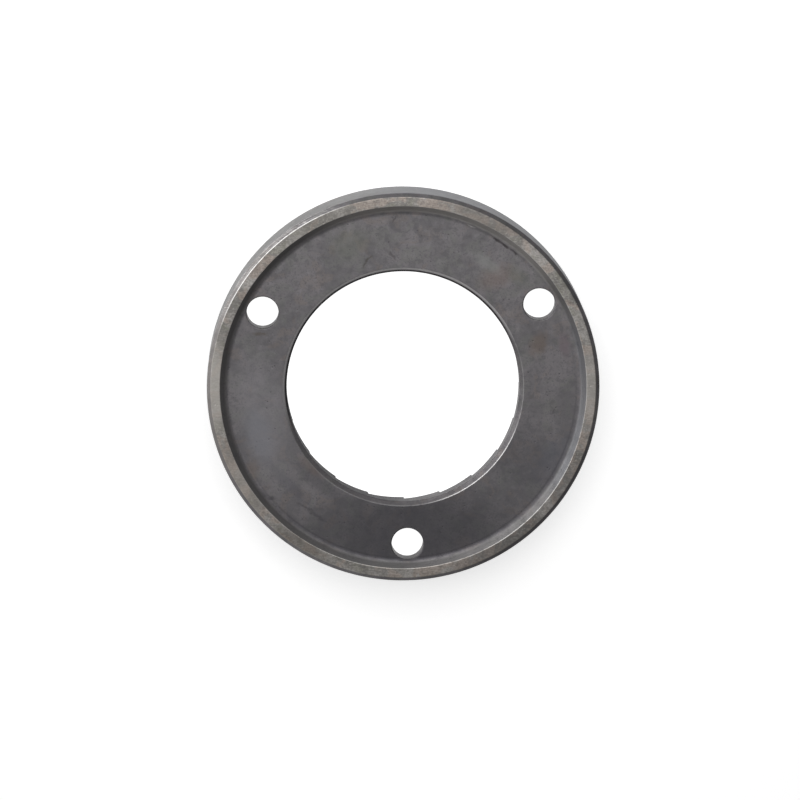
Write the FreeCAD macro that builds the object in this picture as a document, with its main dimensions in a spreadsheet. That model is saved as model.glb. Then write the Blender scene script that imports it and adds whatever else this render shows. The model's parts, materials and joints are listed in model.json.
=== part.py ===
import FreeCAD, Part
import Sketcher
import os

# Flat grinding burr of a coffee grinder, one hardened steel ring.
# It lies as it comes to rest: on its tooth crests, with its back up.
# Frame, in millimetres: the origin is on the bore axis in the plane of the crests, +Z points out
# of the back, and angles count from +X, anticlockwise as seen from the back.
# Depths on the tooth side are measured up from the crest plane, into the steel.

DIMENSIONS = [
    # the ring
    ("outer_diameter", 64.0, "outside of the ring"),
    ("bore_diameter", 38.0, "bore through the ring"),
    ("burr_height", 9.5, "tooth crests to the back rim"),
    # the back
    ("rim_width", 2.1, "raised rim with its chamfer, from the outside to its inner edge"),
    ("recess_depth", 1.25, "floor of the back below the rim"),
    ("recess_wall_angle", 50.0, "slope of the recess wall, from the floor"),
    ("recess_corner_radius", 1.1, "fillet between floor and recess wall"),
    ("rim_chamfer", 0.65, "chamfer round the outside of the rim"),
    ("bore_chamfer", 0.7, "chamfer of the bore at the floor"),
    # the screw holes
    ("hole_count", 3, "screw holes"),
    ("hole_inset", 6.0, "centre of a screw hole, in from the outside"),
    ("hole_diameter", 5.2, "clearance hole for the screw"),
    ("hole_phase", 30.0, "angle of the first screw hole"),
    ("hole_edge_break", 0.15, "broken edge of the hole at the floor"),
    ("hole_land", 3.3, "length of the straight hole below the floor"),
    ("head_diameter", 9.0, "pocket for the screw head, open to the teeth"),
    ("head_angle", 90.0, "included angle of the countersink"),
    # the turned tooth side, before the teeth are cut
    ("crest_band_width", 3.4, "flat band of crests, in from the outside"),
    ("bevel_width", 0.6, "bevel inside the band, down to the feed cone"),
    ("bevel_depth", 0.85, "depth of the feed cone at the foot of the bevel"),
    ("mouth_depth", 3.75, "depth of the feed cone at the bore"),
    # the fine teeth
    ("tooth_count", 55, "fine teeth"),
    ("tooth_lean_radius", 9.8, "circle that the tooth grooves are tangent to"),
    ("tooth_depth", 0.15, "depth of a tooth groove at the outside"),
    ("tooth_runout", 0.4, "how far inside the bevel a tooth groove surfaces on the feed cone"),
    ("tooth_rake", 10.0, "lean of the cutting face from upright"),
    ("tooth_phase", 0.0, "angle of a groove at the outside"),
    # the breakers round the bore
    ("breaker_count", 20, "coarse breaker teeth"),
    ("breaker_lean_radius", 9.8, "circle that the breaker gullets are tangent to"),
    ("breaker_depth", 1.35, "depth of a gullet below the feed cone, at the bore"),
    ("breaker_runout", 1.0, "how far inside the bevel a gullet surfaces on the feed cone"),
    ("breaker_rake", 5.0, "lean of the breaking face from upright"),
    ("breaker_phase", 17.2, "angle of a gullet at the bore"),
    # how far a cutter starts and ends outside the steel
    ("overrun", 0.5, "free travel of a cutter"),
]

# Lengths that follow from the driving dimensions, as formulas on the sheet.
OUTER_RADIUS = "(Dimensions.outer_diameter / 2)"
BORE_RADIUS = "(Dimensions.bore_diameter / 2)"
RIM_INNER_RADIUS = f"({OUTER_RADIUS} - Dimensions.rim_width)"
FLOOR_HEIGHT = "(Dimensions.burr_height - Dimensions.recess_depth)"
FLOOR_RADIUS = f"({RIM_INNER_RADIUS} - Dimensions.recess_depth / tan(Dimensions.recess_wall_angle))"
BAND_RADIUS = f"({OUTER_RADIUS} - Dimensions.crest_band_width)"
FOOT_RADIUS = f"({BAND_RADIUS} - Dimensions.bevel_width)"
CONE_SLOPE = f"((Dimensions.mouth_depth - Dimensions.bevel_depth) / ({FOOT_RADIUS} - {BORE_RADIUS}))"


def make_sheet(doc):
    """The sheet of driving dimensions: name, value and meaning, one row each."""
    sheet = doc.addObject("Spreadsheet::Sheet", "Dimensions")
    for row, (alias, value, meaning) in enumerate(DIMENSIONS, start=1):
        sheet.set(f"A{row}", alias)
        sheet.set(f"B{row}", str(value))
        sheet.set(f"C{row}", meaning)
        sheet.setAlias(f"B{row}", alias)
    doc.recompute()
    return sheet


def number(owner, formula):
    """Present value of a formula on the sheet."""
    return float(owner.evalExpression(formula))


def origin_feature(body, role):
    """The body's own origin plane or axis with this role."""
    for feature in body.Origin.OriginFeatures:
        if feature.Role == role:
            return feature
    raise ValueError(f"{body.Label} has no {role}")


def add_sketch(body, name, place=None):
    """A sketch on the body's upright XZ plane: its x is a radius and its y a height."""
    sketch = body.newObject("Sketcher::SketchObject", name)
    sketch.AttachmentSupport = (origin_feature(body, "XZ_Plane"), [""])
    sketch.MapMode = "FlatFace"
    if place:
        sketch.setExpression("AttachmentOffset", place)
    return sketch


def bind_coordinate(sketch, kind, edge, formula):
    """Hold the start of an edge at a distance from the sketch's origin, by a formula."""
    axis_across = -2 if kind == "DistanceX" else -1
    value = number(sketch, formula)
    if formula == "0":
        sketch.addConstraint(Sketcher.Constraint("PointOnObject", edge, 1, axis_across))
        return
    if value > 0:
        index = sketch.addConstraint(Sketcher.Constraint(kind, -1, 1, edge, 1, value))
        sketch.setExpression(f"Constraints[{index}]", formula)
    else:
        index = sketch.addConstraint(Sketcher.Constraint(kind, edge, 1, -1, 1, -value))
        sketch.setExpression(f"Constraints[{index}]", f"-({formula})")


def draw_outline(sketch, corners):
    """A closed outline of straight lines whose corners are pairs of formulas."""
    points = [FreeCAD.Vector(number(sketch, x), number(sketch, y), 0) for x, y in corners]
    count = len(points)
    lines = [Part.LineSegment(points[i], points[(i + 1) % count]) for i in range(count)]
    edges = sketch.addGeometry(lines, False)
    for i in range(count):
        sketch.addConstraint(Sketcher.Constraint("Coincident", edges[i], 2, edges[(i + 1) % count], 1))
    for edge, (x, y) in zip(edges, corners):
        bind_coordinate(sketch, "DistanceX", edge, x)
        bind_coordinate(sketch, "DistanceY", edge, y)


def round_edge(feature, radius, height):
    """Name of the circular edge of a feature with this radius and height."""
    for index, edge in enumerate(feature.Shape.Edges, start=1):
        curve = edge.Curve
        if not isinstance(curve, Part.Circle):
            continue
        if abs(curve.Radius - radius) < 1e-4 and abs(curve.Center.z - height) < 1e-4:
            return f"Edge{index}"
    raise ValueError(f"no edge of radius {radius} at height {height}")


def dress_edge(body, kind, name, base, radius, height, size_name, size):
    """Chamfer or fillet one round edge of the feature before it."""
    body.Document.recompute()
    feature = body.newObject(kind, name)
    feature.Base = (base, [round_edge(base, number(base, radius), number(base, height))])
    feature.setExpression(size_name, size)
    return feature


def repeat_round(body, name, feature, count):
    """Repeat a cut evenly round the bore axis."""
    pattern = body.newObject("PartDesign::PolarPattern", name)
    pattern.Originals = [feature]
    pattern.Axis = (origin_feature(body, "Z_Axis"), [""])
    pattern.Angle = 360
    pattern.setExpression("Occurrences", count)
    body.Tip = pattern
    return pattern


def turn_blank(body):
    """The turned ring: rim, recessed back, bore, feed cone and flat band of crests."""
    section = add_sketch(body, "BlankSection")
    draw_outline(section, [
        (OUTER_RADIUS, "0"),
        (OUTER_RADIUS, "Dimensions.burr_height"),
        (RIM_INNER_RADIUS, "Dimensions.burr_height"),
        (FLOOR_RADIUS, FLOOR_HEIGHT),
        (BORE_RADIUS, FLOOR_HEIGHT),
        (BORE_RADIUS, "Dimensions.mouth_depth"),
        (FOOT_RADIUS, "Dimensions.bevel_depth"),
        (BAND_RADIUS, "0"),
    ])
    blank = body.newObject("PartDesign::Revolution", "Blank")
    blank.Profile = section
    blank.ReferenceAxis = (section, ["V_Axis"])
    blank.Angle = 360
    return blank


def dress_back(body, blank):
    """Fillet of the recess and the chamfers of the rim and the bore."""
    corner = dress_edge(body, "PartDesign::Fillet", "RecessCorner", blank, FLOOR_RADIUS, FLOOR_HEIGHT,
                        "Radius", "Dimensions.recess_corner_radius")
    rim = dress_edge(body, "PartDesign::Chamfer", "RimChamfer", corner, OUTER_RADIUS,
                     "Dimensions.burr_height", "Size", "Dimensions.rim_chamfer")
    return dress_edge(body, "PartDesign::Chamfer", "BoreChamfer", rim, BORE_RADIUS, FLOOR_HEIGHT,
                      "Size", "Dimensions.bore_chamfer")


def cut_screw_holes(body):
    """Holes through the floor, each with a countersunk pocket for its head on the tooth side."""
    axis_radius = f"{OUTER_RADIUS} - Dimensions.hole_inset"
    place = ("placement(vector(0; 0; 0); rotationy(Dimensions.hole_phase))"
             f" * placement(vector({axis_radius}; 0; 0); rotationx(0))")
    hole_radius = "(Dimensions.hole_diameter / 2)"
    head_radius = "(Dimensions.head_diameter / 2)"
    sink_top = f"({FLOOR_HEIGHT} - Dimensions.hole_land)"
    sink_depth = f"(({head_radius} - {hole_radius}) / tan(Dimensions.head_angle / 2))"
    break_height = f"({FLOOR_HEIGHT} - Dimensions.hole_edge_break)"
    break_radius = f"({hole_radius} + Dimensions.hole_edge_break)"

    section = add_sketch(body, "HoleSection", place)
    draw_outline(section, [
        ("0", "-Dimensions.overrun"),
        (head_radius, "-Dimensions.overrun"),
        (head_radius, f"{sink_top} - {sink_depth}"),
        (hole_radius, sink_top),
        (hole_radius, break_height),
        (f"{break_radius} + Dimensions.overrun", f"{FLOOR_HEIGHT} + Dimensions.overrun"),
        ("0", f"{FLOOR_HEIGHT} + Dimensions.overrun"),
    ])
    hole = body.newObject("PartDesign::Groove", "ScrewHole")
    hole.Profile = section
    hole.ReferenceAxis = (section, ["V_Axis"])
    hole.Angle = 360
    return repeat_round(body, "ScrewHoles", hole, "Dimensions.hole_count")


def along_line(radius, lean):
    """Where a line that is tangent to the lean circle crosses the circle of this radius."""
    return f"sqrt({radius} ^ 2 - {lean} ^ 2)"


def cone_depth(radius):
    """Depth of the feed cone at this radius."""
    return f"(Dimensions.bevel_depth + ({FOOT_RADIUS} - {radius}) * {CONE_SLOPE})"


def cut_groove(body, name, start, end, lean, rake, count, meeting, phase):
    """One straight V groove, swept from its start to its end.

    start and end are the radius and the depth of its root line, which is tangent to the lean
    circle. Its short face stands upright but for the rake. Its long flank rises until it meets
    the next groove, one pitch on, at the radius and the depth that meeting gives. phase is the
    radius and the angle at which the root line crosses a circle.
    """
    start_radius, start_depth = start
    end_radius, end_depth = end
    meeting_radius, meeting_depth = meeting
    phase_radius, phase_angle = phase

    # The root line seen from above, and how steeply it sinks.
    start_along = along_line(start_radius, lean)
    run = f"({start_along} - {along_line(end_radius, lean)})"
    sink = f"(({end_depth} - {start_depth}) / {run})"
    slope = f"atan({sink})"

    # From the root line at the meeting radius to the same point one pitch on.
    meeting_along = along_line(meeting_radius, lean)
    swing = f"(asin({lean} / {meeting_radius}) + 360 deg / {count})"
    further = f"({meeting_along} - {meeting_radius} * cos({swing}))"
    aside = f"({meeting_radius} * sin({swing}) - {lean})"
    root_there = f"({start_depth} + ({start_along} - {meeting_along} + {further}) * {sink})"
    flank = f"atan(({root_there} - {meeting_depth}) / {aside} * cos({slope}))"

    turn = f"{phase_angle} * 1 deg - 90 deg - asin({lean} / {phase_radius})"
    place = (f"placement(vector(0; 0; 0); rotationy({turn}))"
             f" * placement(vector(-{lean}; {start_depth}; -{start_along}); rotationx(-{slope}))"
             " * placement(vector(0; 0; -Dimensions.overrun); rotationx(0))")
    reach = f"(max({start_depth}; {end_depth}) + 2 * Dimensions.overrun)"

    section = add_sketch(body, f"{name}Section", place)
    draw_outline(section, [
        ("0", "0"),
        (f"{reach} * tan({rake})", f"-{reach}"),
        (f"-{reach} / tan({flank})", f"-{reach}"),
    ])
    groove = body.newObject("PartDesign::Pocket", name)
    groove.Profile = section
    groove.Reversed = True
    groove.setExpression("Length", f"({run} + {further}) / cos({slope}) + 2 * Dimensions.overrun")
    return groove


def cut_teeth(body):
    """Fine teeth: shallow at the outside, deeper inward, and gone where they meet the feed cone."""
    runout = f"({FOOT_RADIUS} - Dimensions.tooth_runout)"
    groove = cut_groove(
        body, "ToothGroove",
        start=(OUTER_RADIUS, "Dimensions.tooth_depth"),
        end=(runout, cone_depth(runout)),
        lean="Dimensions.tooth_lean_radius",
        rake="Dimensions.tooth_rake",
        count="Dimensions.tooth_count",
        meeting=(BAND_RADIUS, "0"),
        phase=(OUTER_RADIUS, "Dimensions.tooth_phase"))
    return repeat_round(body, "Teeth", groove, "Dimensions.tooth_count")


def cut_breakers(body):
    """Coarse breaker teeth: gullets that start on the feed cone and are deepest at the bore."""
    runout = f"({FOOT_RADIUS} - Dimensions.breaker_runout)"
    gullet = cut_groove(
        body, "Gullet",
        start=(runout, cone_depth(runout)),
        end=(BORE_RADIUS, "(Dimensions.mouth_depth + Dimensions.breaker_depth)"),
        lean="Dimensions.breaker_lean_radius",
        rake="Dimensions.breaker_rake",
        count="Dimensions.breaker_count",
        meeting=(BORE_RADIUS, "Dimensions.mouth_depth"),
        phase=(BORE_RADIUS, "Dimensions.breaker_phase"))
    return repeat_round(body, "Breakers", gullet, "Dimensions.breaker_count")


def check(doc, before, after):
    """Stop if a feature failed, if it isn't one valid solid, or if a cut took nothing away."""
    doc.recompute()
    for item in doc.Objects:
        if "Invalid" in item.State or "Error" in item.State:
            raise RuntimeError(f"{item.Label} failed: {item.State}")
    if after.Shape.isNull() or not after.Shape.isValid() or len(after.Shape.Solids) != 1:
        raise RuntimeError(f"{after.Label} is not one valid solid")
    if not after.Shape.Volume < before.Shape.Volume:
        raise RuntimeError(f"{after.Label} cut nothing")


def make_burr(doc):
    """The whole burr, in the order in which it is machined."""
    body = doc.addObject("PartDesign::Body", "Burr")
    body.Label = "burr"
    body.Placement = FreeCAD.Placement()
    blank = turn_blank(body)
    back = dress_back(body, blank)
    check(doc, blank, back)
    holes = cut_screw_holes(body)
    check(doc, back, holes)
    teeth = cut_teeth(body)
    check(doc, holes, teeth)
    breakers = cut_breakers(body)
    check(doc, teeth, breakers)
    return body


def main():
    doc = FreeCAD.newDocument("FlatBurr")
    make_sheet(doc)
    burr = make_burr(doc)
    os.makedirs("parts", exist_ok=True)
    burr.Shape.exportStep(f"parts/{burr.Label}.step")
    box = burr.Shape.BoundBox
    print(f"{burr.Label}: {len(burr.Shape.Solids)} solid, {burr.Shape.Volume:.1f} mm3, "
          f"{box.XLength:.3f} x {box.YLength:.3f} x {box.ZLength:.3f} mm, lowest {box.ZMin:.4f}")


main()
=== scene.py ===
import bmesh
import bpy
import json
import math
import numpy as np
from mathutils import Matrix, Vector


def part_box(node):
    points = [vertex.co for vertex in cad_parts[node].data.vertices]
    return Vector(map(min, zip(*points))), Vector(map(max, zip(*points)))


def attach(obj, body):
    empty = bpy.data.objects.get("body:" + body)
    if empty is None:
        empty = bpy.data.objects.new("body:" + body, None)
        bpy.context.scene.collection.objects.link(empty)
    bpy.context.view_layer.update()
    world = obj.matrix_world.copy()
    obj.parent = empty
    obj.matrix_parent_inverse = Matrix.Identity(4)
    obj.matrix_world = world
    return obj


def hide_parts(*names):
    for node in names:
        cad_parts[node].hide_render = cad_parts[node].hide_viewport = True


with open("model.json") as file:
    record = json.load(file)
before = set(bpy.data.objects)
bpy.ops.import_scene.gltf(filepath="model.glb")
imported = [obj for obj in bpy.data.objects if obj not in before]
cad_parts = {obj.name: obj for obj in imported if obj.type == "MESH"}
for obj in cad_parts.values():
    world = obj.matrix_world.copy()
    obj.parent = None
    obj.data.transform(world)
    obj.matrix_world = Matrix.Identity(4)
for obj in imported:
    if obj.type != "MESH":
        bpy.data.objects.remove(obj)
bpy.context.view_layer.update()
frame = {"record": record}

MM = 0.001
FULL_TURN = 2 * math.pi

# Sizes that the frame gives, in millimetres.
low_corner, high_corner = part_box("burr")
mounts = {mount["name"]: mount for mount in frame["record"]["mounts"]}
OUTER_RADIUS = mounts["outer_band"]["dims"]["r_mm"]
BORE_RADIUS = mounts["bore"]["dims"]["r_mm"]
HOLE_CIRCLE_RADIUS = mounts["screw_holes"]["dims"]["pcd_mm"] / 2
HOLE_RADIUS = mounts["screw_holes"]["dims"]["hole_r_mm"]
HOLE_COUNT = mounts["screw_holes"]["dims"]["count"]
HEIGHT = (high_corner.z - low_corner.z) / MM

# The back.
RIM_WIDTH = 2.1
RECESS_DEPTH = 1.25
RECESS_WALL_ANGLE = math.radians(50)
RECESS_CORNER_RADIUS = 1.1
RIM_CHAMFER = 0.65
BORE_CHAMFER = 0.7
FLOOR_HEIGHT = HEIGHT - RECESS_DEPTH

# The screw holes.
HOLE_PHASE = math.radians(30)
HOLE_LAND = 3.3
HEAD_RADIUS = 4.5
HEAD_HALF_ANGLE = math.radians(45)

# The tooth side, with depths measured up from the crests.
CREST_BAND_WIDTH = 3.4
BEVEL_WIDTH = 0.6
BEVEL_DEPTH = 0.85
MOUTH_DEPTH = 3.75
TOOTH_COUNT = 55
TOOTH_LEAN_RADIUS = 9.8
TOOTH_DEPTH = 0.15
TOOTH_RUNOUT = 0.4
TOOTH_RAKE = math.radians(10)
TOOTH_PHASE = 0.0
BREAKER_COUNT = 20
BREAKER_LEAN_RADIUS = 9.8
BREAKER_DEPTH = 1.35
BREAKER_RUNOUT = 1.0
BREAKER_RAKE = math.radians(5)
BREAKER_PHASE = math.radians(17.2)
OVERRUN = 0.5

BAND_RADIUS = OUTER_RADIUS - CREST_BAND_WIDTH
FOOT_RADIUS = BAND_RADIUS - BEVEL_WIDTH
CONE_SLOPE = (MOUTH_DEPTH - BEVEL_DEPTH) / (FOOT_RADIUS - BORE_RADIUS)

# Edges broken by polishing and handling.
RIM_OUTER_EDGE = 0.12
RIM_INNER_EDGE = 0.12
CHAMFER_LOWER_EDGE = 0.12
BORE_EDGE = 0.14
HOLE_EDGE = 0.2
HOLE_EDGE_TURN = 75

RING_SEGMENTS = 480
HOLE_SEGMENTS = 96
ARC_STEPS = 7
SUPPORT = 0.03
SHARP_ANGLE = math.radians(14)


def mesh_object(name, points, faces):
    """An object at the origin, from an array of points in millimetres and a list of faces."""
    mesh = bpy.data.meshes.new(name)
    mesh.from_pydata((points * MM).tolist(), [], faces)
    piece = bpy.data.objects.new(name, mesh)
    bpy.context.scene.collection.objects.link(piece)
    return piece


def turn_outwards(mesh):
    """Turn the faces of a closed mesh outwards."""
    work = bmesh.new()
    work.from_mesh(mesh)
    bmesh.ops.recalc_face_normals(work, faces=work.faces)
    work.to_mesh(mesh)
    work.free()


def rounded_outline(corners):
    """A closed outline from corners (x, y, radius).

    A corner of radius r becomes an arc that starts and ends r * tan(half its turn) from the
    corner, and each end has one more point just outside the arc, so that the flats shade flat.
    A corner of radius 0 stays one point.
    """
    points = []
    count = len(corners)
    for i, (x, y, radius) in enumerate(corners):
        here = np.array([x, y])
        if radius == 0:
            points.append(here)
            continue
        before = np.array(corners[i - 1][:2]) - here
        after = np.array(corners[(i + 1) % count][:2]) - here
        before /= np.linalg.norm(before)
        after /= np.linalg.norm(after)
        half_opening = math.acos(np.clip(before @ after, -1, 1)) / 2
        reach = radius / math.tan(half_opening)
        centre = here + (before + after) / np.linalg.norm(before + after) * radius / math.sin(half_opening)
        start = here + before * reach - centre
        end = here + after * reach - centre
        share = np.linspace(0, 1, ARC_STEPS)[:, None]
        turn = math.pi - 2 * half_opening
        arc = (np.sin((1 - share) * turn) * start + np.sin(share * turn) * end) / math.sin(turn)
        points.append(here + before * (reach + SUPPORT))
        points.extend(centre + arc)
        points.append(here + after * (reach + SUPPORT))
    return np.array(points)


def turned(outline, segments):
    """Points and faces of a closed outline (radius, height) turned about the bore axis.

    Point (i, j) is outline point j at the angle i / segments of a full turn.
    """
    angle = np.linspace(0, FULL_TURN, segments, endpoint=False)[:, None]
    radius, height = outline[:, 0], outline[:, 1]
    x = np.cos(angle) * radius
    y = np.sin(angle) * radius
    points = np.stack([x, y, np.broadcast_to(height, x.shape)], axis=-1).reshape(-1, 3)
    across = len(outline)
    i, j = np.meshgrid(np.arange(segments), np.arange(across), indexing="ij")
    next_i = (i + 1) % segments
    next_j = (j + 1) % across
    faces = np.stack([i * across + j, next_i * across + j,
                      next_i * across + next_j, i * across + next_j], axis=-1).reshape(-1, 4)
    return points, faces.tolist()


def plug(outline, segments, centre):
    """A round cutter: an open outline (radius, height) turned about an upright axis at the centre.

    The outline starts and ends on the axis, and these two ends become one point each.
    """
    inner = outline[1:-1]
    angle = np.linspace(0, FULL_TURN, segments, endpoint=False)[:, None]
    x = centre[0] + np.cos(angle) * inner[:, 0]
    y = centre[1] + np.sin(angle) * inner[:, 0]
    ring = np.stack([x, y, np.broadcast_to(inner[:, 1], x.shape)], axis=-1).reshape(-1, 3)
    ends = np.array([[*centre, outline[0, 1]], [*centre, outline[-1, 1]]])
    across = len(inner)
    first = np.arange(segments) * across
    following = np.roll(first, -1)
    low_end = np.full(segments, len(ring))
    low_cap = np.stack([low_end, following, first], axis=-1)
    high_cap = np.stack([low_end + 1, first + across - 1, following + across - 1], axis=-1)
    j = np.arange(across - 1)
    low_left = first[:, None] + j
    low_right = following[:, None] + j
    wall = np.stack([low_left, low_right, low_right + 1, low_left + 1], axis=-1).reshape(-1, 4)
    return np.concatenate([ring, ends]), wall.tolist() + low_cap.tolist() + high_cap.tolist()


def along(radius, lean):
    """Distance along a line that is tangent to the lean circle, from there to this radius."""
    return math.sqrt(radius ** 2 - lean ** 2)


def cone_depth(radius):
    """Depth of the feed cone at a radius."""
    return BEVEL_DEPTH + (FOOT_RADIUS - radius) * CONE_SLOPE


def groove_prism(start, end, lean, rake, count, meeting, phase):
    """The cutter of one V groove as a prism of six points, swung to its first place.

    The root line runs from start to end, each a radius and a depth, tangent to the lean circle.
    The short face leans by the rake. The long flank rises to the meeting depth one pitch on.
    """
    start_along = along(start[0], lean)
    run = start_along - along(end[0], lean)
    sink = (end[1] - start[1]) / run
    slope = math.atan(sink)
    meeting_along = along(meeting[0], lean)
    swing = math.asin(lean / meeting[0]) + FULL_TURN / count
    further = meeting_along - meeting[0] * math.cos(swing)
    aside = meeting[0] * math.sin(swing) - lean
    root_there = start[1] + (start_along - meeting_along + further) * sink
    flank = math.atan((root_there - meeting[1]) / aside * math.cos(slope))
    reach = max(start[1], end[1]) + 2 * OVERRUN

    stroke = np.array([0, -math.cos(slope), math.sin(slope)])
    up = np.array([0, math.sin(slope), math.cos(slope)])
    side = np.array([1.0, 0, 0])
    root = np.array([-lean, start_along, start[1]]) - stroke * OVERRUN
    section = np.array([root,
                        root + side * reach * math.tan(rake) - up * reach,
                        root - side * reach / math.tan(flank) - up * reach])
    length = (run + further) / math.cos(slope) + 2 * OVERRUN
    points = np.concatenate([section, section + stroke * length])
    turn = phase[1] - math.pi / 2 - math.asin(lean / phase[0])
    return swung(points, turn)


def swung(points, angle):
    """Points turned about the bore axis."""
    cosine, sine = math.cos(angle), math.sin(angle)
    return points @ np.array([[cosine, sine, 0], [-sine, cosine, 0], [0, 0, 1]])


def cut(piece, points, faces):
    """Take a closed shape away from the piece."""
    cutter = mesh_object("cutter", points, faces)
    turn_outwards(cutter.data)
    modifier = piece.modifiers.new("cut", "BOOLEAN")
    modifier.operation = "DIFFERENCE"
    modifier.solver = "MANIFOLD"
    modifier.object = cutter
    uncut = piece.data
    result = bpy.data.meshes.new_from_object(piece.evaluated_get(bpy.context.evaluated_depsgraph_get()))
    piece.modifiers.remove(modifier)
    piece.data = result
    bpy.data.meshes.remove(uncut)
    bpy.data.objects.remove(cutter)


def cut_grooves(piece, prism, count, group):
    """Cut evenly spaced grooves, a few at a time, so that no two cutters of one cut touch."""
    sides = [[0, 1, 2], [5, 4, 3], [0, 3, 4, 1], [1, 4, 5, 2], [2, 5, 3, 0]]
    for first in range(group):
        points = []
        faces = []
        for place, index in enumerate(range(first, count, group)):
            points.append(swung(prism, index * FULL_TURN / count))
            faces.extend([[corner + 6 * place for corner in side] for side in sides])
        cut(piece, np.concatenate(points), faces)


def make_burr():
    """The burr: a turned ring with rounded edges, its screw holes, gullets and tooth grooves.

    The rounded edge of a screw hole turns through HOLE_EDGE_TURN degrees, and its cutter runs on
    above the floor in the direction that the edge has there.
    """
    floor_radius = OUTER_RADIUS - RIM_WIDTH - RECESS_DEPTH / math.tan(RECESS_WALL_ANGLE)
    outline = rounded_outline([
        (OUTER_RADIUS, 0, 0),
        (OUTER_RADIUS, HEIGHT - RIM_CHAMFER, CHAMFER_LOWER_EDGE),
        (OUTER_RADIUS - RIM_CHAMFER, HEIGHT, RIM_OUTER_EDGE),
        (OUTER_RADIUS - RIM_WIDTH, HEIGHT, RIM_INNER_EDGE),
        (floor_radius, FLOOR_HEIGHT, RECESS_CORNER_RADIUS),
        (BORE_RADIUS + BORE_CHAMFER, FLOOR_HEIGHT, BORE_EDGE),
        (BORE_RADIUS, FLOOR_HEIGHT - BORE_CHAMFER, BORE_EDGE),
        (BORE_RADIUS, MOUTH_DEPTH, 0),
        (FOOT_RADIUS, BEVEL_DEPTH, 0),
        (BAND_RADIUS, 0, 0),
    ])
    piece = mesh_object("steel_burr", *turned(outline, RING_SEGMENTS))
    turn_outwards(piece.data)

    sink_top = FLOOR_HEIGHT - HOLE_LAND
    sink_bottom = sink_top - (HEAD_RADIUS - HOLE_RADIUS) / math.tan(HEAD_HALF_ANGLE)
    turn = np.radians(np.linspace(0, HOLE_EDGE_TURN, ARC_STEPS))
    flare = np.stack([HOLE_RADIUS + HOLE_EDGE * (1 - np.cos(turn)),
                      FLOOR_HEIGHT - HOLE_EDGE * (1 - np.sin(turn))], axis=-1)
    tail_angle = math.radians(90 - HOLE_EDGE_TURN)
    tail = flare[-1] + np.array([math.cos(tail_angle), math.sin(tail_angle)]) * OVERRUN
    hole_outline = np.concatenate([
        [[0, -OVERRUN], [HEAD_RADIUS, -OVERRUN], [HEAD_RADIUS, sink_bottom], [HOLE_RADIUS, sink_top]],
        flare, [tail], [[0, tail[1]]]])
    for index in range(HOLE_COUNT):
        angle = HOLE_PHASE + index * FULL_TURN / HOLE_COUNT
        centre = (HOLE_CIRCLE_RADIUS * math.cos(angle), HOLE_CIRCLE_RADIUS * math.sin(angle))
        cut(piece, *plug(hole_outline, HOLE_SEGMENTS, centre))

    tooth_end = FOOT_RADIUS - TOOTH_RUNOUT
    tooth_groove = groove_prism(
        start=(OUTER_RADIUS, TOOTH_DEPTH), end=(tooth_end, cone_depth(tooth_end)),
        lean=TOOTH_LEAN_RADIUS, rake=TOOTH_RAKE, count=TOOTH_COUNT,
        meeting=(BAND_RADIUS, 0), phase=(OUTER_RADIUS, TOOTH_PHASE))
    cut_grooves(piece, tooth_groove, TOOTH_COUNT, group=5)
    gullet_start = FOOT_RADIUS - BREAKER_RUNOUT
    gullet = groove_prism(
        start=(gullet_start, cone_depth(gullet_start)), end=(BORE_RADIUS, MOUTH_DEPTH + BREAKER_DEPTH),
        lean=BREAKER_LEAN_RADIUS, rake=BREAKER_RAKE, count=BREAKER_COUNT,
        meeting=(BORE_RADIUS, MOUTH_DEPTH), phase=(BORE_RADIUS, BREAKER_PHASE))
    cut_grooves(piece, gullet, BREAKER_COUNT, group=4)

    for polygon in piece.data.polygons:
        polygon.use_smooth = True
    piece.data.set_sharp_from_angle(angle=SHARP_ANGLE)
    return piece


def linear(hex_colour):
    """Linear colour of an sRGB hex value such as #6b6a6c."""
    parts = [int(hex_colour[i:i + 2], 16) / 255 for i in (1, 3, 5)]
    return tuple(p / 12.92 if p <= 0.04045 else ((p + 0.055) / 1.055) ** 2.4 for p in parts) + (1.0,)


def add_node(tree, kind, settings=None, inputs=None, out=0):
    """Add a node, set its properties, set or link its inputs, and return one of its outputs."""
    node = tree.nodes.new(kind)
    for name, value in (settings or {}).items():
        setattr(node, name, value)
    for name, value in (inputs or {}).items():
        if isinstance(value, bpy.types.NodeSocket):
            tree.links.new(value, node.inputs[name])
        else:
            node.inputs[name].default_value = value
    return node.outputs[out] if node.outputs else None


# Settings that many nodes share.
SMOOTH = {"interpolation_type": "SMOOTHSTEP"}
TIMES = {"operation": "MULTIPLY"}
LARGER = {"operation": "MAXIMUM"}
COLOURS = {"data_type": "RGBA"}
DOT = {"operation": "DOT_PRODUCT"}
TIMES_AND_PLUS = {"operation": "MULTIPLY_ADD"}


def new_material(name):
    """A material with an empty node tree."""
    material = bpy.data.materials.new(name)
    material.use_nodes = True
    material.node_tree.nodes.clear()
    return material, material.node_tree


def zone(tree, value, low, high, border):
    """1 where a value lies from low to high, falling smoothly to 0 over a border outside each end."""
    above_low = add_node(tree, "ShaderNodeMapRange", SMOOTH,
                         {"Value": value, "From Min": low - border, "From Max": low})
    below_high = add_node(tree, "ShaderNodeMapRange", SMOOTH,
                          {"Value": value, "From Min": high + border, "From Max": high})
    return add_node(tree, "ShaderNodeMath", TIMES, {0: above_low, 1: below_high})


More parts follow.
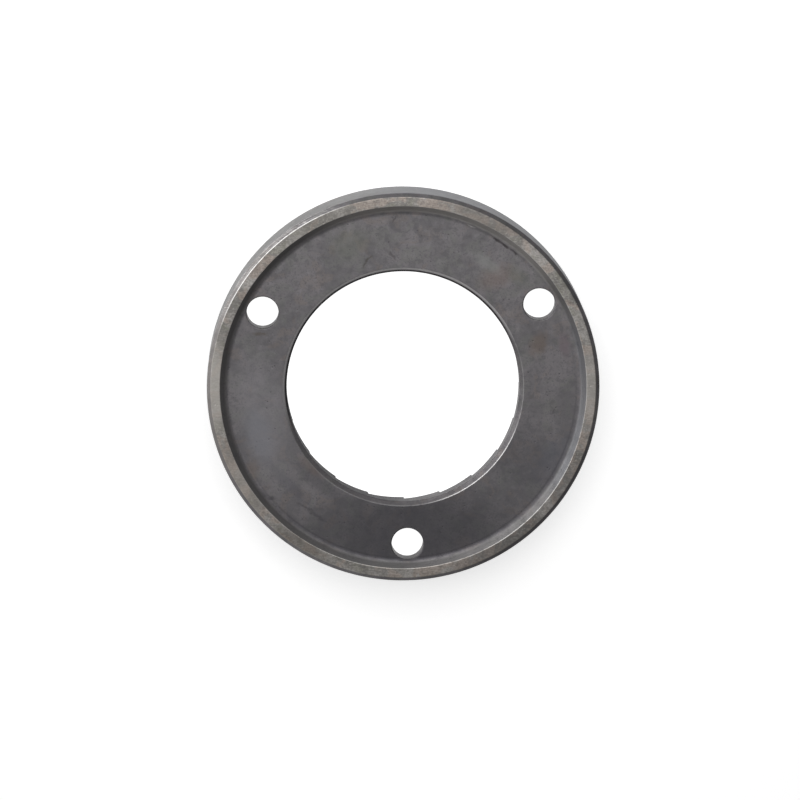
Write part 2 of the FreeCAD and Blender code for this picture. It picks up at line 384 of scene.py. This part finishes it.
def lay_over(tree, below, above, pattern, low, high, most=1.0, where=1.0):
    """Lay one colour over another as a pattern goes from low to high, where a mask is 1."""
    cover = add_node(tree, "ShaderNodeMapRange", SMOOTH,
                     {"Value": pattern, "From Min": low, "From Max": high, "To Max": most})
    cover = add_node(tree, "ShaderNodeMath", TIMES, {0: cover, 1: where})
    return add_node(tree, "ShaderNodeMix", COLOURS, {0: cover, 6: below, 7: above}, 2)


def side_of_ring(tree, flat, degrees, low, high):
    """1 on the side of the ring at this angle: the share of a point's radius along it, low to high."""
    toward = (math.cos(math.radians(degrees)), math.sin(math.radians(degrees)), 0)
    share = add_node(tree, "ShaderNodeVectorMath", {"operation": "NORMALIZE"}, {0: flat})
    share = add_node(tree, "ShaderNodeVectorMath", DOT, {0: share, 1: toward}, "Value")
    return add_node(tree, "ShaderNodeMapRange", SMOOTH, {"Value": share, "From Min": low, "From Max": high})


def add_marks(tree, colour, marks, ragged, face):
    """Lay ovals over a colour on one face, stains or painted shade: each fades out across its border."""
    for x, y, half_length, half_width, angle, shade, strength in marks:
        spread = add_node(tree, "ShaderNodeMapping", {"vector_type": "TEXTURE"}, {
            "Vector": ragged, "Location": (x, y, 0), "Rotation": (0, 0, math.radians(angle)),
            "Scale": (half_length, half_width, 1)})
        spread = add_node(tree, "ShaderNodeVectorMath", {"operation": "LENGTH"}, {0: spread}, "Value")
        colour = lay_over(tree, colour, linear(shade), spread, 1.5, 0.4, strength, face)
    return colour


# Ovals of stain, and of painted shade where a comment says so: middle x and y, half length and half
# width, all in millimetres, the angle of the length in degrees, the colour and how strongly it covers.
FLOOR_MARKS = [
    (15.6, 24.1, 1.1, 0.30, -40, "#2e2a2b", 0.75),
    (17.1, 23.0, 0.9, 0.28, -42, "#2e2a2b", 0.75),
    (18.8, 21.7, 1.0, 0.26, -44, "#302c2e", 0.70),
    (11.4, 26.5, 1.4, 0.20, -29, "#9c9a99", 0.60),
    (-5.5, 20.7, 0.9, 0.20, 66, "#3c3a34", 0.50),
    (-4.9, 21.4, 0.7, 0.18, 20, "#413f38", 0.45),
    (-1.2, 21.8, 0.9, 0.20, -52, "#3d3a3c", 0.50),
    (-0.6, 27.7, 0.6, 0.20, 55, "#3f3d3e", 0.60),
    (-14.4, 21.7, 0.9, 0.16, -50, "#444342", 0.28),
    (-22.2, -17.7, 0.5, 0.35, 0, "#434044", 0.60),
    (-15.6, -20.1, 2.9, 0.28, -37, "#403e42", 0.45),
    (-23.0, 9.5, 1.2, 0.32, 0, "#4d463d", 0.45),
    (24.5, -4.6, 0.9, 0.14, 45, "#454346", 0.45),
    (15.7, 17.7, 3.0, 1.7, 20, "#695c56", 0.38),
    (19.2, 17.6, 2.2, 1.4, -50, "#5a5d57", 0.40),
    (14.2, 20.0, 2.4, 1.0, -38, "#757674", 0.50),
    (22.2, 6.5, 2.0, 1.3, 60, "#61564e", 0.50),
    (26.4, 6.2, 0.9, 1.8, 10, "#62575c", 0.50),
    (-23.7, -7.0, 2.0, 4.2, 12, "#6a6d74", 0.50),
    (-25.3, -13.3, 1.2, 1.9, -15, "#655c56", 0.50),
    (-14.0, -15.4, 5.0, 1.3, -42, "#444347", 0.40),
    (-15.4, -12.6, 2.6, 0.9, -42, "#625955", 0.45),
    (-19.5, -15.0, 4.6, 0.9, -48, "#525157", 0.45),
    (-23.0, -4.0, 10.0, 4.0, 100, "#787679", 0.40),
    # Painted shade: the floor darker towards the bottom.
    (1.0, -24.0, 17.0, 7.0, 0, "#39383c", 0.66),
    (24.0, -12.5, 2.0, 4.5, -30, "#5c5d64", 0.40),
    # Painted shade: the floor darker at the lower right.
    (19.5, -13.0, 6.5, 5.0, -50, "#454448", 0.35),
    (-8.0, 24.0, 3.4, 2.2, 20, "#62645c", 0.35),
]
RIM_MARKS = [
    (30.6, -1.0, 6.0, 2.0, 90, "#a19d99", 0.50),
    (-30.6, 1.5, 7.5, 2.0, 90, "#a6a29d", 0.60),
    (-27.2, -14.0, 6.0, 2.0, 117, "#958f89", 0.45),
    (13.5, 27.5, 7.0, 2.0, -26, "#605d5a", 0.50),
    (-12.5, 28.0, 8.0, 2.0, 24, "#6b6863", 0.30),
    # Painted shade: the rim darker at the lower right.
    (15.3, -26.5, 9.0, 2.5, 30, "#4c4a4a", 0.42),
    (26.0, -16.5, 4.0, 2.0, 58, "#636160", 0.35),
    # Painted shade: the rim darker at the lower left.
    (-17.5, -25.0, 5.5, 2.0, -35, "#5c5853", 0.50),
]


def hardened_steel():
    """Hardened tool steel: turned, heat treated to a dull uneven grey, then ground on rim and teeth.

    The scale left by the heat treatment gives soft blotches of mauve, green and brown grey with
    dark pits. Grinding gives the rim a lighter, warmer and finer surface. Turning gives the walls,
    chamfers and outside fine lines that run round, the outside has slanting scratches too, and
    handling wears the sharp edges bright. Painted shade darkens parts of the floor, rim, recess corner,
    bore and chamfers on some sides, and painted light and highlights lighten the recess wall, edges
    and chamfers on others. Millimetres are used all through.
    """
    material, tree = new_material("hardened_tool_steel")
    place = add_node(tree, "ShaderNodeTexCoord", out="Object")
    place = add_node(tree, "ShaderNodeVectorMath", {"operation": "SCALE"}, {0: place, "Scale": 1 / MM})
    flat = add_node(tree, "ShaderNodeVectorMath", TIMES, {0: place, 1: (1, 1, 0)})
    radius = add_node(tree, "ShaderNodeVectorMath", {"operation": "LENGTH"}, {0: flat}, "Value")
    height = add_node(tree, "ShaderNodeSeparateXYZ", inputs={0: place}, out="Z")

    # Where each finish lies.
    outside = add_node(tree, "ShaderNodeMapRange", SMOOTH, {
        "Value": radius, "From Min": OUTER_RADIUS - 0.1, "From Max": OUTER_RADIUS - 0.03})
    rim_face = add_node(tree, "ShaderNodeMapRange", SMOOTH, {
        "Value": height, "From Min": HEIGHT - 0.09, "From Max": HEIGHT - 0.02})
    floor_face = zone(tree, height, FLOOR_HEIGHT - 0.02, FLOOR_HEIGHT + 0.02, 0.1)
    recess_wall = add_node(tree, "ShaderNodeMath", TIMES, {
        0: zone(tree, height, FLOOR_HEIGHT + 0.4, HEIGHT, 0.35),
        1: zone(tree, radius, 0, OUTER_RADIUS - RIM_WIDTH, 0.05)})
    tooth_side = add_node(tree, "ShaderNodeMath", TIMES, {
        0: zone(tree, height, -0.1, MOUTH_DEPTH + BREAKER_DEPTH, 0.1),
        1: zone(tree, radius, BORE_RADIUS + 0.08, OUTER_RADIUS - 0.1, 0.06)})
    crest_band = add_node(tree, "ShaderNodeMath", TIMES, {
        0: tooth_side, 1: zone(tree, radius, FOOT_RADIUS, OUTER_RADIUS, 0.4)})

    # Heat scale: blotches about 5 mm wide, a tint that changes over 3 mm, a mottle of 1.4 mm and a
    # grain of 0.3 mm.
    blotch = add_node(tree, "ShaderNodeTexNoise", inputs={
        "Vector": place, "Scale": 1 / 5.0, "Detail": 3.0, "Roughness": 0.55, "Distortion": 0.5})
    tint = add_node(tree, "ShaderNodeTexNoise", inputs={
        "Vector": place, "Scale": 1 / 3.2, "Detail": 2.0, "Roughness": 0.5, "Distortion": 0.8}, out="Color")
    tint = add_node(tree, "ShaderNodeSeparateColor", inputs={0: tint}, out="Green")
    mottle = add_node(tree, "ShaderNodeTexNoise", inputs={
        "Vector": place, "Scale": 1 / 1.4, "Detail": 4.0, "Roughness": 0.6, "Distortion": 0.3})
    grain = add_node(tree, "ShaderNodeTexNoise", inputs={
        "Vector": place, "Scale": 1 / 0.3, "Detail": 2.0, "Roughness": 0.6})
    colour = lay_over(tree, linear("#5d5b5d"), linear("#696668"), blotch, 0.34, 0.66)
    colour = lay_over(tree, colour, linear("#636460"), tint, 0.52, 0.64, 0.35)
    colour = lay_over(tree, colour, linear("#6b635e"), tint, 0.46, 0.34, 0.35)
    colour = lay_over(tree, colour, linear("#4f4e50"), mottle, 0.5, 0.34, 0.42)
    colour = lay_over(tree, colour, linear("#787678"), mottle, 0.54, 0.72, 0.28)
    colour = lay_over(tree, colour, linear("#59575a"), grain, 0.5, 0.3, 0.85)

    # Stains on the recess floor, and painted shade on its lower part, with ragged borders.
    ragged = add_node(tree, "ShaderNodeTexNoise", inputs={
        "Vector": place, "Scale": 1 / 0.9, "Detail": 3.0}, out="Color")
    ragged = add_node(tree, "ShaderNodeVectorMath", {"operation": "SUBTRACT"},
                      {0: ragged, 1: (0.5, 0.5, 0.5)})
    ragged = add_node(tree, "ShaderNodeVectorMath", TIMES_AND_PLUS,
                      {0: ragged, 1: (1.1, 1.1, 0), 2: flat})
    colour = add_marks(tree, colour, FLOOR_MARKS, ragged, floor_face)

    # Pits about 0.4 mm across, in loose groups.
    pit = add_node(tree, "ShaderNodeVectorMath", TIMES_AND_PLUS,
                   {0: ragged, 1: (0.4, 0.4, 0), 2: place})
    pit = add_node(tree, "ShaderNodeTexVoronoi", {"feature": "F1"}, {"Vector": pit, "Scale": 1 / 1.1})
    pit = add_node(tree, "ShaderNodeMapRange", SMOOTH, {"Value": pit, "From Min": 0.24, "From Max": 0.04})
    groups = add_node(tree, "ShaderNodeTexNoise", inputs={"Vector": place, "Scale": 1 / 2.6, "Detail": 1.0})
    groups = add_node(tree, "ShaderNodeMapRange", SMOOTH,
                      {"Value": groups, "From Min": 0.49, "From Max": 0.63})
    pit = add_node(tree, "ShaderNodeMath", TIMES, {0: pit, 1: groups})
    colour = lay_over(tree, colour, linear("#39363a"), pit, 0, 1, 0.5)

    # Turning lines about 0.3 mm apart, which run round the axis, broken along their length.
    lathe = add_node(tree, "ShaderNodeVectorMath", TIMES_AND_PLUS, {
        0: add_node(tree, "ShaderNodeCombineXYZ", inputs={0: radius, 1: height}), 1: (3.4, 4.2, 0),
        2: add_node(tree, "ShaderNodeVectorMath", TIMES, {0: flat, 1: (0.2, 0.2, 0.2)})})
    lathe = add_node(tree, "ShaderNodeTexNoise", inputs={"Vector": lathe, "Scale": 1.0, "Detail": 2.0})

    # Scratches about 0.15 mm apart and 1.3 mm long, which cross the outside at a slant on its upper
    # left and lower right sides.
    across = add_node(tree, "ShaderNodeVectorMath", DOT, {0: place, 1: (-3.6, -3.4, 5.0)}, "Value")
    lengthwise = add_node(tree, "ShaderNodeVectorMath", DOT, {0: place, 1: (0.4, 0.4, 0.5)}, "Value")
    scratches = add_node(tree, "ShaderNodeCombineXYZ", inputs={0: across, 1: lengthwise})
    scratches = add_node(tree, "ShaderNodeTexNoise", inputs={
        "Vector": scratches, "Scale": 1.0, "Detail": 2.0, "Distortion": 0.5})

    # The turned wall of the recess: cleaner than the floor, with painted light at the top, and bluish at the
    # right.
    colour = lay_over(tree, colour, linear("#7a7978"), mottle, 0.2, 0.45, 0.5, recess_wall)
    top = side_of_ring(tree, flat, 75, 0.6, 0.96)
    colour = lay_over(tree, colour, linear("#a8a4a0"), top, 0, 1, 0.5, recess_wall)
    right = side_of_ring(tree, flat, 352, 0.8, 0.98)
    colour = lay_over(tree, colour, linear("#787b83"), right, 0, 1, 0.3, recess_wall)

    # Painted shade darkens the corner of the recess at its lower side.
    corner = zone(tree, radius, OUTER_RADIUS - 3.6, OUTER_RADIUS - 3.3, 0.35)
    lower_side = side_of_ring(tree, flat, 285, 0.0, 0.7)
    colour = lay_over(tree, colour, linear("#39383c"), lower_side, 0, 1, 0.45, corner)

    # The chamfer at the bore: along its upper left half, painted shade below and a painted highlight above.
    upper_half = side_of_ring(tree, flat, 110, -0.2, 0.4)
    lower_part = add_node(tree, "ShaderNodeMath", TIMES, {
        0: zone(tree, radius, BORE_RADIUS, BORE_RADIUS + 0.2, 0.14),
        1: zone(tree, height, FLOOR_HEIGHT - BORE_CHAMFER, HEIGHT, 0.3)})
    colour = lay_over(tree, colour, linear("#201e20"), upper_half, 0, 1, 0.95, lower_part)
    upper_part = zone(tree, radius, BORE_RADIUS + 0.42, BORE_RADIUS + BORE_CHAMFER - 0.06, 0.1)
    colour = lay_over(tree, colour, linear("#a19fa0"), upper_half, 0, 1, 0.8, upper_part)

    # Painted shade darkens the bore's own wall at the lower left.
    bore_wall = zone(tree, radius, 0, BORE_RADIUS + 0.02, 0.05)
    lower_left = side_of_ring(tree, flat, 225, 0.5, 0.95)
    colour = lay_over(tree, colour, linear("#38373b"), lower_left, 0, 1, 0.6, bore_wall)

    # The turned chamfer outside the rim: painted shade at the lower right, painted light at the left,
    # and at the upper left painted highlights in streaks and light scratches, among dark scratches.
    upper_left = side_of_ring(tree, flat, 133, 0.86, 0.985)
    chamfer = zone(tree, radius, OUTER_RADIUS - RIM_CHAMFER + 0.08, OUTER_RADIUS, 0.08)
    # Painted shade on the chamfer's lower right.
    chamfer_shade_side = side_of_ring(tree, flat, 317, 0.8, 0.97)
    colour = lay_over(tree, colour, linear("#39383b"), chamfer_shade_side, 0, 1, 0.4, chamfer)
    # Painted light on the chamfer's left.
    left = side_of_ring(tree, flat, 165, 0.6, 0.95)
    colour = lay_over(tree, colour, linear("#8f8b86"), left, 0, 1, 0.3, chamfer)
    # Painted highlights on the chamfer's upper left.
    chamfer = add_node(tree, "ShaderNodeMath", TIMES, {0: chamfer, 1: upper_left})
    colour = lay_over(tree, colour, linear("#a5a3a2"), lathe, 0.45, 0.6, 0.35, chamfer)
    colour = lay_over(tree, colour, linear("#5d5c5c"), scratches, 0.5, 0.32, 0.5, chamfer)
    colour = lay_over(tree, colour, linear("#c9c6c2"), scratches, 0.56, 0.72, 0.5, chamfer)

    # The ground rim: warm, lighter and fine, with straight grinding lines 0.2 mm apart.
    strokes = add_node(tree, "ShaderNodeMapping", inputs={
        "Vector": flat, "Rotation": (0, 0, math.radians(38)), "Scale": (1 / 0.9, 1 / 0.2, 1)})
    strokes = add_node(tree, "ShaderNodeTexNoise", inputs={"Vector": strokes, "Scale": 1.0, "Detail": 2.0})
    ground = lay_over(tree, linear("#6e6c69"), linear("#8f8c89"), blotch, 0.38, 0.62)
    ground = lay_over(tree, ground, linear("#8d827a"), tint, 0.5, 0.6, 0.7)
    ground = lay_over(tree, ground, linear("#74736a"), tint, 0.46, 0.36, 0.6)
    ground = lay_over(tree, ground, linear("#625f5c"), mottle, 0.5, 0.34, 0.5)
    ground = lay_over(tree, ground, linear("#64615e"), strokes, 0.5, 0.3, 0.35)
    ground = lay_over(tree, ground, linear("#a5a19d"), strokes, 0.5, 0.7, 0.3)
    ground = lay_over(tree, ground, linear("#5f5c5a"), grain, 0.52, 0.28, 0.5)
    ground = lay_over(tree, ground, linear("#b0aca7"), grain, 0.52, 0.72, 0.3)
    # Stains on the rim, and painted shade on its lower side.
    ground = add_marks(tree, ground, RIM_MARKS, ragged, 1.0)
    colour = lay_over(tree, colour, ground, rim_face, 0, 1)

    # The turned outside: lighter, mottled, bluish at the upper right, with faint streaks that run
    # round and patches of scratches.
    band = lay_over(tree, linear("#8b8a8a"), linear("#9a9999"), blotch, 0.36, 0.62)
    band = lay_over(tree, band, linear("#6c6a69"), mottle, 0.5, 0.32, 0.4)
    band = lay_over(tree, band, linear("#989694"), mottle, 0.58, 0.76, 0.3)
    band = lay_over(tree, band, linear("#706f6e"), lathe, 0.5, 0.34, 0.3)
    band = lay_over(tree, band, linear("#686766"), grain, 0.54, 0.28, 0.3)
    band = lay_over(tree, band, linear("#aeacaa"), grain, 0.62, 0.76, 0.4)
    band = lay_over(tree, band, linear("#7f7b75"), tint, 0.54, 0.66, 0.3)
    upper_right = side_of_ring(tree, flat, 55, 0.5, 0.95)
    band = lay_over(tree, band, linear("#8b8d96"), upper_right, 0, 1, 0.4)
    scratched = add_node(tree, "ShaderNodeMapRange", SMOOTH,
                         {"Value": blotch, "From Min": 0.4, "From Max": 0.6})
    band = lay_over(tree, band, linear("#6b6a69"), scratches, 0.5, 0.3, 0.35, scratched)
    band = lay_over(tree, band, linear("#bfbcb8"), scratches, 0.56, 0.74, 0.35, scratched)
    colour = lay_over(tree, colour, band, outside, 0, 1)

    # Lines of the cutter along the tooth grooves. A groove is tangent to the lean circle, so turning
    # each point back by asin(lean / radius) gives one angle all along a groove. Lines 0.25 mm apart.
    lean = add_node(tree, "ShaderNodeMath", {"operation": "DIVIDE"}, {0: TOOTH_LEAN_RADIUS, 1: radius})
    lean = add_node(tree, "ShaderNodeMath", {"operation": "ARCSINE"}, {0: lean})
    lean = add_node(tree, "ShaderNodeMath", TIMES, {0: lean, 1: -1.0})
    milling = add_node(tree, "ShaderNodeVectorRotate", {"rotation_type": "Z_AXIS"},
                       {"Vector": flat, "Angle": lean})
    milling = add_node(tree, "ShaderNodeVectorMath", {"operation": "NORMALIZE"}, {0: milling})
    milling = add_node(tree, "ShaderNodeVectorMath", TIMES_AND_PLUS, {
        0: milling, 1: (BAND_RADIUS / 0.25, BAND_RADIUS / 0.25, 0),
        2: add_node(tree, "ShaderNodeVectorMath", TIMES, {0: place, 1: (0.2, 0.2, 0.6)})})
    milling = add_node(tree, "ShaderNodeTexNoise", inputs={"Vector": milling, "Scale": 1.0, "Detail": 2.0})

    # The milled cone and gullets are heat treated like the back, and the band of crests is ground.
    teeth = lay_over(tree, linear("#605f61"), linear("#757375"), milling, 0.35, 0.65)
    teeth = lay_over(tree, teeth, linear("#565557"), mottle, 0.48, 0.34, 0.4)
    colour = lay_over(tree, colour, teeth, tooth_side, 0, 1)
    crests = lay_over(tree, linear("#757372"), linear("#8a8886"), milling, 0.35, 0.65)
    crests = lay_over(tree, crests, linear("#b1afac"), height, 0.05, 0.0, 0.6)
    colour = lay_over(tree, colour, crests, crest_band, 0, 1)

    # Edges worn bright all round the bore and inside the rim, with a painted highlight that adds most
    # at the lower right. Outside the rim only a painted highlight, at the upper left.
    lower_right = side_of_ring(tree, flat, 310, 0.84, 0.98)
    bore_wear_and_highlight = add_node(tree, "ShaderNodeMath", TIMES, {
        0: zone(tree, radius, BORE_RADIUS + BORE_CHAMFER - 0.06, BORE_RADIUS + BORE_CHAMFER - 0.04, 0.1),
        1: add_node(tree, "ShaderNodeMapRange", inputs={
            "Value": lower_right, "To Min": 0.16, "To Max": 0.75})})
    bore_wear_and_highlight = add_node(tree, "ShaderNodeMath", TIMES, {
        0: bore_wear_and_highlight, 1: zone(tree, height, FLOOR_HEIGHT - 0.2, HEIGHT, 0.2)})
    # Outside the rim only a painted highlight, at the upper left.
    rim_wear_and_highlight = add_node(tree, "ShaderNodeMath", TIMES, {
        0: zone(tree, radius, OUTER_RADIUS - RIM_CHAMFER, OUTER_RADIUS - RIM_CHAMFER + 0.04, 0.07),
        1: add_node(tree, "ShaderNodeMapRange", inputs={"Value": upper_left, "To Min": 0.0, "To Max": 0.9})})
    inner_wear_and_highlight = add_node(tree, "ShaderNodeMath", TIMES, {
        0: zone(tree, radius, OUTER_RADIUS - RIM_WIDTH, OUTER_RADIUS - RIM_WIDTH, 0.1),
        1: add_node(tree, "ShaderNodeMapRange", inputs={
            "Value": side_of_ring(tree, flat, 315, 0.92, 0.99), "To Min": 0.2, "To Max": 0.6})})
    rim_wear_and_highlight = add_node(tree, "ShaderNodeMath", LARGER, {0: rim_wear_and_highlight, 1: inner_wear_and_highlight})
    rim_wear_and_highlight = add_node(tree, "ShaderNodeMath", TIMES, {
        0: rim_wear_and_highlight, 1: zone(tree, height, HEIGHT - 0.12, HEIGHT, 0.15)})
    wear_and_highlight = add_node(tree, "ShaderNodeMath", LARGER, {0: bore_wear_and_highlight, 1: rim_wear_and_highlight})
    colour = lay_over(tree, colour, linear("#cfcecd"), mottle, 0.2, 0.5, 0.9, wear_and_highlight)

    # Gloss: the scale is dull, ground and turned steel are finer, and worn edges finest.
    fine = add_node(tree, "ShaderNodeMath", LARGER, {0: rim_face, 1: outside})
    fine = add_node(tree, "ShaderNodeMath", LARGER, {0: fine, 1: tooth_side})
    roughness = add_node(tree, "ShaderNodeMapRange", inputs={
        "Value": mottle, "From Min": 0.35, "From Max": 0.65, "To Min": 0.54, "To Max": 0.46})
    roughness = add_node(tree, "ShaderNodeMix", inputs={0: fine, 2: roughness, 3: 0.38})
    roughness = add_node(tree, "ShaderNodeMix", inputs={0: wear_and_highlight, 2: roughness, 3: 0.3})

    # Relief: grain, mottle and pits everywhere, lines of the lathe and the cutter where each worked.
    not_turned = add_node(tree, "ShaderNodeMath", LARGER, {0: floor_face, 1: rim_face})
    not_turned = add_node(tree, "ShaderNodeMath", LARGER, {0: not_turned, 1: tooth_side})
    lathe_depth = add_node(tree, "ShaderNodeMapRange", inputs={
        "Value": outside, "To Min": 0.6, "To Max": 0.16})
    lathe_depth = add_node(tree, "ShaderNodeMix", inputs={0: not_turned, 2: lathe_depth, 3: 0.0})
    relief = add_node(tree, "ShaderNodeMath", TIMES, {0: lathe, 1: lathe_depth})
    relief = add_node(tree, "ShaderNodeMath", TIMES_AND_PLUS, {
        0: milling, 1: add_node(tree, "ShaderNodeMath", TIMES, {0: tooth_side, 1: 0.5}), 2: relief})
    relief = add_node(tree, "ShaderNodeMath", TIMES_AND_PLUS, {0: grain, 1: 0.5, 2: relief})
    relief = add_node(tree, "ShaderNodeMath", TIMES_AND_PLUS, {0: mottle, 1: 0.3, 2: relief})
    relief = add_node(tree, "ShaderNodeMath", TIMES_AND_PLUS, {0: pit, 1: -1.0, 2: relief})
    normal = add_node(tree, "ShaderNodeBump", inputs={
        "Height": relief, "Strength": 1.0, "Distance": 0.02 * MM})

    surface = add_node(tree, "ShaderNodeBsdfPrincipled", inputs={
        "Base Color": colour, "Metallic": 1.0, "Roughness": roughness, "Normal": normal})
    add_node(tree, "ShaderNodeOutputMaterial", inputs={"Surface": surface})
    return material


def studio_brightness(tree, direction, dimmest):
    """Brightness of the studio by direction: light at the left, dim towards the right."""
    facing = add_node(tree, "ShaderNodeVectorMath", DOT, {0: direction, 1: (-0.95, 0.2, -0.22)}, "Value")
    return add_node(tree, "ShaderNodeMapRange", SMOOTH, {
        "Value": facing, "From Min": -0.8, "From Max": 0.5, "To Min": dimmest, "To Max": 1.15})


def mirror_ray(tree):
    """1 for a ray that a metal reflects or a clear body lets through."""
    return add_node(tree, "ShaderNodeMath", LARGER, {
        0: add_node(tree, "ShaderNodeLightPath", out="Is Glossy Ray"),
        1: add_node(tree, "ShaderNodeLightPath", out="Is Transmission Ray")})


def make_floor():
    """White paper that keeps the shadow. The steel shows it by rules of its own.

    Outside the ring it is dim close by, as a painted shadow, and towards the right. Inside, the wall of
    the bore shows it dimmer left of the middle, as a painted shadow, and the walls of the screw holes
    show it in full. To the camera it is almost white inside the ring, as painted light.
    """
    size = 1500
    floor = mesh_object("floor", np.array([[-size, -size, 0], [size, -size, 0], [size, size, 0],
                                           [-size, size, 0]]), [[0, 1, 2, 3]])
    material, tree = new_material("white_paper_floor")
    place = add_node(tree, "ShaderNodeTexCoord", out="Object")
    place = add_node(tree, "ShaderNodeVectorMath", {"operation": "SCALE"}, {0: place, "Scale": 1 / MM})
    direction = add_node(tree, "ShaderNodeVectorMath", {"operation": "NORMALIZE"}, {0: place})
    distance = add_node(tree, "ShaderNodeVectorMath", {"operation": "LENGTH"}, {0: place}, "Value")
    inside = add_node(tree, "ShaderNodeMapRange", SMOOTH, {
        "Value": distance, "From Min": OUTER_RADIUS - 0.5, "From Max": OUTER_RADIUS - RIM_WIDTH})

    # What the steel shows of the floor, with painted shadow close to the ring and inside it.
    away = add_node(tree, "ShaderNodeMapRange", SMOOTH, {
        "Value": distance, "From Min": OUTER_RADIUS, "From Max": 3 * OUTER_RADIUS,
        "To Min": 0.17, "To Max": 0.7})
    reflected = studio_brightness(tree, direction, dimmest=0.24)
    reflected = add_node(tree, "ShaderNodeMath", TIMES, {0: reflected, 1: away})
    across = add_node(tree, "ShaderNodeSeparateXYZ", inputs={0: place}, out="X")
    sheltered = add_node(tree, "ShaderNodeMapRange", SMOOTH, {
        "Value": across, "From Min": -12, "From Max": 4, "To Min": 0.22, "To Max": 0.7})
    under_holes = add_node(tree, "ShaderNodeMapRange", SMOOTH, {
        "Value": distance, "From Min": BORE_RADIUS, "From Max": HOLE_CIRCLE_RADIUS - HOLE_RADIUS})
    sheltered = add_node(tree, "ShaderNodeMix", inputs={0: under_holes, 2: sheltered, 3: 1.0})
    reflected = add_node(tree, "ShaderNodeMix", inputs={0: inside, 2: reflected, 3: sheltered})

    # What the camera sees of it, besides the light on the paper.
    seen = add_node(tree, "ShaderNodeMapRange", SMOOTH, {
        "Value": distance, "From Min": 3 * OUTER_RADIUS, "From Max": 10 * OUTER_RADIUS,
        "To Min": 0.66, "To Max": 0.9})
    # Painted light: inside the ring the camera sees the paper almost white, over the ring's shadow.
    seen = add_node(tree, "ShaderNodeMix", inputs={0: inside, 2: seen, 3: 0.97})

    strength = add_node(tree, "ShaderNodeMath", TIMES, {0: reflected, 1: mirror_ray(tree)})
    camera_ray = add_node(tree, "ShaderNodeLightPath", out="Is Camera Ray")
    strength = add_node(tree, "ShaderNodeMix", inputs={0: camera_ray, 2: strength, 3: seen})
    glow = add_node(tree, "ShaderNodeEmission", inputs={"Color": linear("#ffffff"), "Strength": strength})
    paper = add_node(tree, "ShaderNodeBsdfDiffuse", inputs={"Color": linear("#dcdcdc")})
    surface = add_node(tree, "ShaderNodeAddShader", inputs={0: paper, 1: glow})
    add_node(tree, "ShaderNodeOutputMaterial", inputs={"Surface": surface})
    floor.data.materials.append(material)


def make_world():
    """White to the camera, the studio's brightness to the steel, and an even soft light otherwise."""
    world = bpy.data.worlds.new("studio")
    bpy.context.scene.world = world
    world.use_nodes = True
    tree = world.node_tree
    tree.nodes.clear()
    direction = add_node(tree, "ShaderNodeTexCoord", out="Generated")
    strength = add_node(tree, "ShaderNodeMix", inputs={
        0: mirror_ray(tree), 2: 0.2, 3: studio_brightness(tree, direction, dimmest=0.38)})
    camera_ray = add_node(tree, "ShaderNodeLightPath", out="Is Camera Ray")
    strength = add_node(tree, "ShaderNodeMix", inputs={0: camera_ray, 2: strength, 3: 1.0})
    light = add_node(tree, "ShaderNodeBackground", inputs={"Color": linear("#ffffff"), "Strength": strength})
    add_node(tree, "ShaderNodeOutputWorld", inputs={"Surface": light})


def add_softbox(name, azimuth, elevation, distance, width, height, power):
    """An area lamp that faces the burr, placed by its direction and distance in metres."""
    light = bpy.data.lights.new(name, "AREA")
    light.shape = "RECTANGLE"
    light.size = width
    light.size_y = height
    light.energy = power
    lamp = bpy.data.objects.new(name, light)
    lamp.visible_camera = False
    direction = Vector((math.cos(math.radians(azimuth)) * math.cos(math.radians(elevation)),
                        math.sin(math.radians(azimuth)) * math.cos(math.radians(elevation)),
                        math.sin(math.radians(elevation))))
    lamp.location = direction * distance
    lamp.rotation_euler = direction.to_track_quat("Z", "Y").to_euler()
    bpy.context.scene.collection.objects.link(lamp)


def make_camera():
    """The photograph's view: a long lens that looks down on the back of the burr."""
    place = Vector((-14.11, 119.40, 731.94)) * MM
    forward = Vector((0.01843, -0.16549, -0.98604)).normalized()
    up = Vector((0.03047, 0.98584, -0.16490)).normalized()
    right = forward.cross(up).normalized()
    up = right.cross(forward)
    lens = bpy.data.cameras.new("camera")
    lens.sensor_width = 36
    lens.lens = 202.5
    lens.clip_start = 0.01
    camera = bpy.data.objects.new("camera", lens)
    camera.matrix_world = Matrix.Translation(place) @ Matrix((right, up, -forward)).transposed().to_4x4()
    bpy.context.scene.collection.objects.link(camera)
    bpy.context.scene.camera = camera


burr = make_burr()
burr.data.materials.clear()
burr.data.materials.append(hardened_steel())
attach(burr, "root")
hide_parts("burr")

make_floor()
make_world()
add_softbox("key", azimuth=147, elevation=9, distance=0.55, width=0.7, height=0.16, power=1.25)
add_softbox("top_light", azimuth=90, elevation=62, distance=0.25, width=0.22, height=0.22, power=0.34)
make_camera()
bpy.context.scene.view_settings.view_transform = "Standard"
